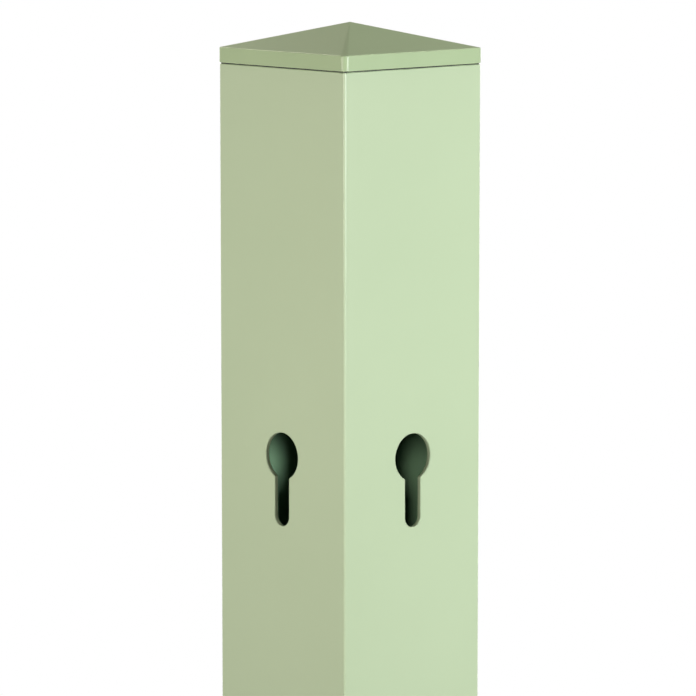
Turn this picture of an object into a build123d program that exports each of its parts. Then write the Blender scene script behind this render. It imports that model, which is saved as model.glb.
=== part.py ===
from build123d import *
import os

# Square fence post: an extruded tube with keyholes for hanging rails, and a push-in pyramid cap.
# Millimetres, +Z up, origin at the middle of the sawn foot. Keyholes face -Y and +X, as on a corner post.

# Tube: extruded section, sawn square at both ends
tube_width = 80.0
tube_wall = 2.0
tube_length = 1000.0
tube_corner_radius = 1.0
tube_inner_radius = 0.5
saw_edge_break = 0.25

# Keyholes: a round part that a bolt head passes, and a slot below it that holds the shank
head_hole_diameter = 20.5
shank_slot_width = 9.0
shank_drop = 26.0
head_hole_from_top = 167.0
keyhole_pitch = 600.0
keyhole_levels = 2
keyhole_turns = (0.0, 90.0)
neck_radius = 0.8
punched_edge_break = 0.3

# Cap: moulded rim and roof
cap_overhang = 0.6
cap_corner_radius = 2.6
rim_height = 6.6
roof_rise = 11.0
crease_radius = 0.5
rim_edge_radius = 0.3
roof_wall = 2.5

# Seat of the cap on the tube, with a shadow groove around it
shadow_gap = 0.55
shadow_depth = 0.5

# Plug of the cap inside the tube
plug_clearance = 0.5
plug_depth = 20.0
plug_wall = 2.0
plug_corner_radius = 2.0
plug_lead_in = 1.0

# Grip ribs on the plug, which just touch the tube
rib_width = 1.6
rib_spacing = 36.0
rib_ramp = 6.0
rib_root = 0.5

# Sizes worked out from the ones above
bore_width = tube_width - 2 * tube_wall
cap_width = tube_width + 2 * cap_overhang
land_width = tube_width - 2 * shadow_depth
land_corner_radius = max(tube_corner_radius - shadow_depth, 0.1)
plug_width = bore_width - 2 * plug_clearance
cavity_width = plug_width - 2 * plug_wall
cavity_radius = max(plug_corner_radius - plug_wall, 0.5)
rim_bottom = tube_length + shadow_gap
rim_top = rim_bottom + rim_height
apex = rim_top + roof_rise
plug_bottom = tube_length - plug_depth


def rounded_square(width, radius, z):
    """A square with rounded corners, flat at height z."""
    return Pos(0, 0, z) * RectangleRounded(width, width, radius)


def keyhole_outline():
    """The punched outline, with its round part at the origin and the necks of the slot eased."""
    round_part = Circle(head_hole_diameter / 2)
    slot = Pos(0, -shank_drop / 2) * Rectangle(shank_slot_width, shank_drop)
    slot += Pos(0, -shank_drop) * Circle(shank_slot_width / 2)
    outline = round_part + slot
    necks = outline.vertices().sort_by(Axis.Y)[-2:]
    return fillet(necks, neck_radius)


def keyhole_cutter(turn, z):
    """A punch through one wall, turned about the post's axis, with its round part at height z."""
    outer_face = Plane(origin=(0, -tube_width / 2, z), x_dir=(1, 0, 0), z_dir=(0, -1, 0))
    punch = extrude(outer_face * keyhole_outline(), amount=-2 * tube_wall)
    return Rot(0, 0, turn) * punch


def ease_punched_edges(tube, turn):
    """Breaks the outer edges of the keyholes in one face, as punching and coating leave them."""
    outward = Vector(0, -1, 0).rotate(Axis.Z, turn)
    outer_face = tube.faces().sort_by(Axis((0, 0, 0), outward))[-1]
    rims = [edge for hole in outer_face.inner_wires() for edge in hole.edges()]
    return chamfer(rims, punched_edge_break)


def ease_sawn_ends(tube):
    """Breaks the outer edges of both sawn ends, as a deburring tool leaves them."""
    ends = tube.faces().filter_by(Plane.XY).sort_by(Axis.Z)
    rims = ends[0].outer_wire().edges() + ends[-1].outer_wire().edges()
    return chamfer(rims, saw_edge_break)


def post_tube():
    """The extruded tube with a row of keyholes at each rail."""
    section = rounded_square(tube_width, tube_corner_radius, 0)
    section -= rounded_square(bore_width, tube_inner_radius, 0)
    tube = ease_sawn_ends(extrude(section, amount=tube_length))
    for turn in keyhole_turns:
        for level in range(keyhole_levels):
            tube -= keyhole_cutter(turn, tube_length - head_hole_from_top - level * keyhole_pitch)
        tube = ease_punched_edges(tube, turn)
    return tube


def pyramid(width, radius, base, rise):
    """A low pyramid on a rounded square, with its point over the post's axis."""
    return loft([rounded_square(width, radius, base).face(), Vertex(0, 0, base + rise)], ruled=True)


def cap_crown():
    """The rim and roof that show above the tube, with the crease and the lower edge rounded."""
    rim = extrude(rounded_square(cap_width, cap_corner_radius, rim_bottom), amount=rim_height)
    crown = rim + pyramid(cap_width, cap_corner_radius, rim_top, roof_rise)
    crease = crown.edges().filter_by_position(Axis.Z, rim_top - 0.01, rim_top + 0.01)
    crown = fillet(crease, crease_radius)
    lower_edge = crown.edges().filter_by_position(Axis.Z, rim_bottom - 0.01, rim_bottom + 0.01)
    return fillet(lower_edge, rim_edge_radius)


def grip_rib(side, offset):
    """One rib on a side of the plug, ramped at the bottom so that it starts into the tube."""
    inner = plug_width / 2 - rib_root
    outer = bore_width / 2
    ramp_start = plug_bottom + plug_lead_in
    profile = Polyline(
        (inner, ramp_start),
        (plug_width / 2, ramp_start),
        (outer, ramp_start + rib_ramp),
        (outer, tube_length),
        (inner, tube_length),
        close=True,
    )
    blade = extrude(Plane.XZ * make_face(profile), amount=rib_width / 2, both=True)
    return Rot(0, 0, side) * Pos(0, offset, 0) * blade


def cap_plug():
    """The hollow square plug that goes into the tube, with two grip ribs on each side."""
    plug = extrude(rounded_square(plug_width, plug_corner_radius, plug_bottom), amount=plug_depth)
    plug = chamfer(plug.faces().sort_by(Axis.Z)[0].outer_wire().edges(), plug_lead_in)
    for side in (0, 90, 180, 270):
        for offset in (-rib_spacing / 2, rib_spacing / 2):
            plug += grip_rib(side, offset)
    return plug


def cap_cavity():
    """The space under the roof, which follows the slope above it."""
    slope_drop = roof_wall * (1 + (roof_rise / (cap_width / 2)) ** 2) ** 0.5
    roof_at_cavity = rim_top + roof_rise * (1 - cavity_width / cap_width)
    ceiling = roof_at_cavity - slope_drop
    shaft = extrude(rounded_square(cavity_width, cavity_radius, plug_bottom), amount=ceiling - plug_bottom)
    return shaft + pyramid(cavity_width, cavity_radius, ceiling, apex - slope_drop - ceiling)


def post_cap():
    """The moulded cap: crown, seat on the tube's end and plug, hollow from below."""
    land = extrude(rounded_square(land_width, land_corner_radius, tube_length), amount=shadow_gap)
    return cap_crown() + land + cap_plug() - cap_cavity()


os.makedirs("parts", exist_ok=True)
export_step(post_tube(), "parts/post_tube.step")
export_step(post_cap(), "parts/post_cap.step")
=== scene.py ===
import math
import bpy
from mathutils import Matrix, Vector


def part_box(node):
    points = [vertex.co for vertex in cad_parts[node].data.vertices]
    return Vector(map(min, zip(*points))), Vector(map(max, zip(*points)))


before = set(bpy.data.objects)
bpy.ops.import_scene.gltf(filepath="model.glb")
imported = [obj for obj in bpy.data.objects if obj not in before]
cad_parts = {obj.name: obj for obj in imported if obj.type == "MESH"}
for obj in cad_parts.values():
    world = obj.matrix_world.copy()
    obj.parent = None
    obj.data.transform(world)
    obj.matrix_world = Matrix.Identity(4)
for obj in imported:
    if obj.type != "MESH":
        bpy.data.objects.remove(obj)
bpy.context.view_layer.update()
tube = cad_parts["post_tube"]
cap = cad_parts["post_cap"]
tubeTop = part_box("post_tube")[1].z
mm = 0.001
colourA, colourB, colourOut = 6, 7, 2   # a mix node's colour sockets
print("frame loaded, tube top at", round(tubeTop, 4))


def hexToLinear(code):
    channels = [int(code[i:i + 2], 16) / 255 for i in (1, 3, 5)]
    return [c / 12.92 if c <= 0.04045 else ((c + 0.055) / 1.055) ** 2.4 for c in channels] + [1.0]


def addNode(tree, kind, settings, links=None):
    # settings go to the node itself or to its sockets, links are socket: source socket
    node = tree.nodes.new(kind)
    for name, value in settings.items():
        if isinstance(name, str) and hasattr(node, name):
            setattr(node, name, value)
        else:
            node.inputs[name].default_value = value
    for name, source in (links or {}).items():
        tree.links.new(source, node.inputs[name])
    return node


def newMaterial(name):
    material = bpy.data.materials.new(name)
    material.use_nodes = True
    material.node_tree.nodes.clear()
    return material, material.node_tree


def dress(piece, material):
    for slot in piece.material_slots:
        slot.material = material


# Extruded aluminium tube under a polyester powder coat, sprayed dry and baked.
# The eye sees one even pale sage with a satin sheen, broken only by a faint orange peel close up.
# Little powder reaches the inside, so there the film is thin and dull, and its darker colour is partly the
# thin film and partly painted shade for the dim bore.
tubeCoat = {
    "deepColour": "#bfd1ac",
    "paleColour": "#c6d7b3",
    # darker green, partly the thin film and partly painted shade for the dim inside of the bore
    "insideFilmAndShadeColour": "#6e9470",
    "cloudMm": 70.0,        # slow drift of the coat's thickness
    "cloudDetail": 3.0,
    "peelMm": 1.6,          # orange peel, crest to crest
    "peelDetail": 1.5,
    "peelSharpness": 0.4,
    "peelHeightMm": 0.010,
    "roughnessLow": 0.30,
    "roughnessHigh": 0.36,
    "insideRoughness": 0.6,
    "insideHalfMm": 38.2,   # inside of this half width lies the bore
    "ior": 1.5,
}


def powderCoatedAluminium(look):
    material, tree = newMaterial("powder_coated_aluminium_baked")
    place = addNode(tree, "ShaderNodeTexCoord", {})
    clouds = addNode(tree, "ShaderNodeTexNoise", {
        "Scale": 1 / (look["cloudMm"] * mm),
        "Detail": look["cloudDetail"],
    }, {"Vector": place.outputs["Object"]})
    peel = addNode(tree, "ShaderNodeTexNoise", {
        "Scale": 1 / (look["peelMm"] * mm),
        "Detail": look["peelDetail"],
        "Roughness": look["peelSharpness"],
    }, {"Vector": place.outputs["Object"]})
    # 1 on the bore's walls, 0 on the outer faces and nearly all of the punched edges
    sides = addNode(tree, "ShaderNodeVectorMath", {"operation": "ABSOLUTE"}, {0: place.outputs["Object"]})
    axes = addNode(tree, "ShaderNodeSeparateXYZ", {}, {0: sides.outputs["Vector"]})
    reach = addNode(tree, "ShaderNodeMath", {"operation": "MAXIMUM"},
                    {0: axes.outputs["X"], 1: axes.outputs["Y"]})
    inside = addNode(tree, "ShaderNodeMath", {"operation": "LESS_THAN", 1: look["insideHalfMm"] * mm},
                     {0: reach.outputs[0]})
    outer = addNode(tree, "ShaderNodeMix", {
        "data_type": "RGBA",
        colourA: hexToLinear(look["deepColour"]),
        colourB: hexToLinear(look["paleColour"]),
    }, {"Factor": clouds.outputs["Fac"]})
    # on the bore's walls the colour turns darker, partly painted shade
    colour = addNode(tree, "ShaderNodeMix", {
        "data_type": "RGBA",
        colourB: hexToLinear(look["insideFilmAndShadeColour"]),
    }, {"Factor": inside.outputs[0], colourA: outer.outputs[colourOut]})
    sheen = addNode(tree, "ShaderNodeMapRange",
                    {"To Min": look["roughnessLow"], "To Max": look["roughnessHigh"]},
                    {"Value": peel.outputs["Fac"]})
    dulled = addNode(tree, "ShaderNodeMix", {"data_type": "FLOAT", "B": look["insideRoughness"]},
                     {"Factor": inside.outputs[0], "A": sheen.outputs["Result"]})
    bump = addNode(tree, "ShaderNodeBump", {"Distance": look["peelHeightMm"] * mm},
                   {"Height": peel.outputs["Fac"]})
    coat = addNode(tree, "ShaderNodeBsdfPrincipled", {"IOR": look["ior"]}, {
        "Base Color": colour.outputs[colourOut],
        "Roughness": dulled.outputs[0],
        "Normal": bump.outputs["Normal"],
    })
    addNode(tree, "ShaderNodeOutputMaterial", {}, {"Surface": coat.outputs["BSDF"]})
    return material


# Injection moulded polyethylene cap, coloured in the mass to go with the coat.
# The eye sees it a touch yellower and duller than the tube, with the fine grain of an eroded mould.
# Along its seat on the tube a dark line is painted in as shade, standing for the shadow in the gap under the
# rim.
capPlastic = {
    "deepColour": "#adc296",
    "paleColour": "#b3c79c",
    # painted shade: a near black that stands for the shadow in the gap under the rim, not the plastic's own
    # colour
    "paintedGapShadeColour": "#1e2218",
    "cloudMm": 25.0,        # flow of the pigment
    "cloudDetail": 2.0,
    "grainMm": 0.9,         # the real grain is near 0.1, drawn this coarse so that it shows
    "grainDetail": 3.0,
    "grainHeightMm": 0.008,
    "roughnessLow": 0.34,
    "roughnessHigh": 0.40,
    "specularLevel": 0.45,
    "gapShadeMiddleMm": 0.27,  # above the tube's end
    "gapShadeHalfMm": 0.26,
    "ior": 1.51,
}


def mouldedPolyethylene(look):
    material, tree = newMaterial("polyethylene_moulded_eroded_grain")
    place = addNode(tree, "ShaderNodeTexCoord", {})
    clouds = addNode(tree, "ShaderNodeTexNoise", {
        "Scale": 1 / (look["cloudMm"] * mm),
        "Detail": look["cloudDetail"],
    }, {"Vector": place.outputs["Object"]})
    grain = addNode(tree, "ShaderNodeTexNoise", {
        "Scale": 1 / (look["grainMm"] * mm),
        "Detail": look["grainDetail"],
    }, {"Vector": place.outputs["Object"]})
    # 1 in the thin band just over the tube's end, where the gap's shadow is painted in as a dark colour
    axes = addNode(tree, "ShaderNodeSeparateXYZ", {}, {0: place.outputs["Object"]})
    gapShadeBand = addNode(tree, "ShaderNodeMath", {
        "operation": "COMPARE",
        1: tubeTop + look["gapShadeMiddleMm"] * mm,
        2: look["gapShadeHalfMm"] * mm,
    }, {0: axes.outputs["Z"]})
    body = addNode(tree, "ShaderNodeMix", {
        "data_type": "RGBA",
        colourA: hexToLinear(look["deepColour"]),
        colourB: hexToLinear(look["paleColour"]),
    }, {"Factor": clouds.outputs["Fac"]})
    # the painted shade is laid over the body colour in that band
    colour = addNode(tree, "ShaderNodeMix", {
        "data_type": "RGBA",
        colourB: hexToLinear(look["paintedGapShadeColour"]),
    }, {"Factor": gapShadeBand.outputs[0], colourA: body.outputs[colourOut]})
    sheen = addNode(tree, "ShaderNodeMapRange",
                    {"To Min": look["roughnessLow"], "To Max": look["roughnessHigh"]},
                    {"Value": grain.outputs["Fac"]})
    bump = addNode(tree, "ShaderNodeBump", {"Distance": look["grainHeightMm"] * mm},
                   {"Height": grain.outputs["Fac"]})
    plastic = addNode(tree, "ShaderNodeBsdfPrincipled", {
        "IOR": look["ior"],
        "Specular IOR Level": look["specularLevel"],
    }, {
        "Base Color": colour.outputs[colourOut],
        "Roughness": sheen.outputs["Result"],
        "Normal": bump.outputs["Normal"],
    })
    addNode(tree, "ShaderNodeOutputMaterial", {}, {"Surface": plastic.outputs["BSDF"]})
    return material


dress(tube, powderCoatedAluminium(tubeCoat))
dress(cap, mouldedPolyethylene(capPlastic))
print("post dressed: coated tube and moulded cap")


# Pale matt floor. Near the post it is paper that takes the shadow,
# further out it fades into the white room.
studioFloor = {
    "colour": "#f2f2f0",
    "half": 40.0,           # metres, as are the two radii
    "shadowRadius": 0.5,
    "whiteRadius": 1.6,
    "whiteNear": 0.6,       # share of plain white even at the post
}


def pureWhiteForViewer(tree):
    # 1 for rays that show the background: straight to the eye, mirrored or through glass
    path = addNode(tree, "ShaderNodeLightPath", {})
    seen = path.outputs["Is Camera Ray"]
    for way in ("Is Glossy Ray", "Is Transmission Ray"):
        either = addNode(tree, "ShaderNodeMath", {"operation": "MAXIMUM"}, {0: seen, 1: path.outputs[way]})
        seen = either.outputs[0]
    return seen


def mattStudioPaper(look):
    material, tree = newMaterial("studio_paper_matt")
    place = addNode(tree, "ShaderNodeTexCoord", {})
    reach = addNode(tree, "ShaderNodeVectorMath", {"operation": "LENGTH"}, {0: place.outputs["Object"]})
    fade = addNode(tree, "ShaderNodeMapRange", {
        "interpolation_type": "SMOOTHSTEP",
        "From Min": look["shadowRadius"],
        "From Max": look["whiteRadius"],
        "To Min": look["whiteNear"],
        "To Max": 1.0,
    }, {"Value": reach.outputs["Value"]})
    share = addNode(tree, "ShaderNodeMath", {"operation": "MULTIPLY"},
                    {0: fade.outputs["Result"], 1: pureWhiteForViewer(tree)})
    paper = addNode(tree, "ShaderNodeBsdfDiffuse", {"Color": hexToLinear(look["colour"])})
    white = addNode(tree, "ShaderNodeEmission", {"Strength": 1.0})
    mixed = addNode(tree, "ShaderNodeMixShader", {}, {
        0: share.outputs[0],
        1: paper.outputs[0],
        2: white.outputs[0],
    })
    addNode(tree, "ShaderNodeOutputMaterial", {}, {"Surface": mixed.outputs[0]})
    return material


half = studioFloor["half"]
floorMesh = bpy.data.meshes.new("studio_floor")
floorCorners = [(-half, -half, 0), (half, -half, 0), (half, half, 0), (-half, half, 0)]
floorMesh.from_pydata(floorCorners, [], [(0, 1, 2, 3)])
floorMesh.materials.append(mattStudioPaper(studioFloor))
floor = bpy.data.objects.new("studio_floor", floorMesh)
bpy.context.scene.collection.objects.link(floor)

# White room. The backdrop is white behind the post and dims towards the ceiling,
# which shows in the sheen of the cap's roof.
whiteRoom = {
    "colour": "#ffffff",
    "ambient": 0.04,
    "ceiling": 0.33,
    "whiteUpTo": 0.10,      # height of the view direction, 1 is straight up
    "ceilingFrom": 0.30,
}
room = bpy.data.worlds.new("white_room")
bpy.context.scene.world = room
room.use_nodes = True
roomTree = room.node_tree
roomTree.nodes.clear()
roomColour = hexToLinear(whiteRoom["colour"])
direction = addNode(roomTree, "ShaderNodeTexCoord", {})
height = addNode(roomTree, "ShaderNodeSeparateXYZ", {}, {0: direction.outputs["Generated"]})
dimming = addNode(roomTree, "ShaderNodeMapRange", {
    "From Min": whiteRoom["whiteUpTo"],
    "From Max": whiteRoom["ceilingFrom"],
    "To Min": 1.0,
    "To Max": whiteRoom["ceiling"],
}, {"Value": height.outputs["Z"]})
ambient = addNode(roomTree, "ShaderNodeBackground", {"Color": roomColour, "Strength": whiteRoom["ambient"]})
backdrop = addNode(roomTree, "ShaderNodeBackground", {"Color": roomColour},
                   {"Strength": dimming.outputs["Result"]})
roomMix = addNode(roomTree, "ShaderNodeMixShader", {}, {
    0: pureWhiteForViewer(roomTree),
    1: ambient.outputs[0],
    2: backdrop.outputs[0],
})
addNode(roomTree, "ShaderNodeOutputWorld", {}, {"Surface": roomMix.outputs[0]})
print("floor laid in a white room")

# Softboxes. The right one is the key, the left one a little warmer and weaker, and an upright strip
# between them fills. Two raised ones behind light the cap's roof and its crease, the left one of them
# large so that the roof doesn't glare from the side. The low ones keep the back faces and the foot readable.
# Azimuth is in degrees from the front face towards the right one, lengths are in metres.
softboxes = {
    "left_softbox": {"azimuth": -4.5, "reach": 0.6, "middle": 0.938, "aim": 0.938,
                     "wide": 0.068, "tall": 0.094, "level": 0.362, "tint": "#fff9f3"},
    "front_strip": {"azimuth": 16.3, "reach": 0.6, "middle": 0.88, "aim": 0.88,
                    "wide": 0.06, "tall": 0.5, "level": 0.268, "tint": "#fff9f3"},
    "right_softbox": {"azimuth": 102, "reach": 0.85, "middle": 0.95, "aim": 0.95,
                      "wide": 0.1, "tall": 0.135, "level": 0.825, "tint": "#fbffff"},
    "high_back_right": {"azimuth": 174, "reach": 1.2, "middle": 2.05, "aim": 1.0,
                        "wide": 0.25, "tall": 0.25, "level": 0.30, "tint": "#fffae8"},
    "high_back_left": {"azimuth": 265, "reach": 1.2, "middle": 2.05, "aim": 1.0,
                       "wide": 0.7, "tall": 0.7, "level": 0.45, "tint": "#fffae8"},
    "low_back": {"azimuth": 225, "reach": 1.5, "middle": 0.5, "aim": 0.5,
                 "wide": 0.8, "tall": 0.9, "level": 0.50, "tint": "#ffffff"},
    "low_left": {"azimuth": -5, "reach": 0.4, "middle": 0.26, "aim": 0.26,
                 "wide": 0.08, "tall": 0.36, "level": 0.22, "tint": "#fff9f3"},
    "low_right": {"azimuth": 102, "reach": 0.4, "middle": 0.24, "aim": 0.24,
                  "wide": 0.08, "tall": 0.3, "level": 0.28, "tint": "#ffffff"},
}
for name, box in softboxes.items():
    lamp = bpy.data.lights.new(name, "AREA")
    lamp.shape = "RECTANGLE"
    lamp.size = box["wide"]
    lamp.size_y = box["tall"]
    lamp.color = hexToLinear(box["tint"])[:3]
    lampObject = bpy.data.objects.new(name, lamp)
    turn = math.radians(box["azimuth"])
    lampObject.location = (box["reach"] * math.sin(turn), -box["reach"] * math.cos(turn), box["middle"])
    beam = Vector((0, 0, box["aim"])) - lampObject.location
    lampObject.rotation_euler = beam.to_track_quat("-Z", "Y").to_euler()
    # level 1 shows a colour that faces the lamp about as written
    lamp.energy = box["level"] * (math.pi * beam.length) ** 2
    lampObject.visible_camera = False
    bpy.context.scene.collection.objects.link(lampObject)
print("studio lit by", len(softboxes), "softboxes")

# The photograph's standpoint: a little above the cap, at the front corner, through a long lens.
standpoint = {
    "azimuth": 47.298,
    "distance": 1.8116,
    "overTube": 0.1233,
    "pitch": 7.764,
    "focalPixels": 4200.0,
    "imagePixels": 696.0,
    "sidePixels": 1.94,     # the post stands this far right of the middle
    "sensorMm": 36.0,
}
lens = bpy.data.cameras.new("front_corner_camera")
lens.sensor_width = standpoint["sensorMm"]
lens.lens = standpoint["sensorMm"] * standpoint["focalPixels"] / standpoint["imagePixels"]
camera = bpy.data.objects.new("front_corner_camera", lens)
around = math.radians(standpoint["azimuth"])
camera.location = Vector((math.sin(around), -math.cos(around), 0)) * standpoint["distance"]
camera.location.z = tubeTop + standpoint["overTube"]
sideTurn = math.atan(standpoint["sidePixels"] / standpoint["focalPixels"])
camera.rotation_euler = (math.pi / 2 - math.radians(standpoint["pitch"]), 0, around + sideTurn)
bpy.context.scene.collection.objects.link(camera)
bpy.context.scene.camera = camera
bpy.context.scene.view_settings.view_transform = "Standard"
print("camera placed")
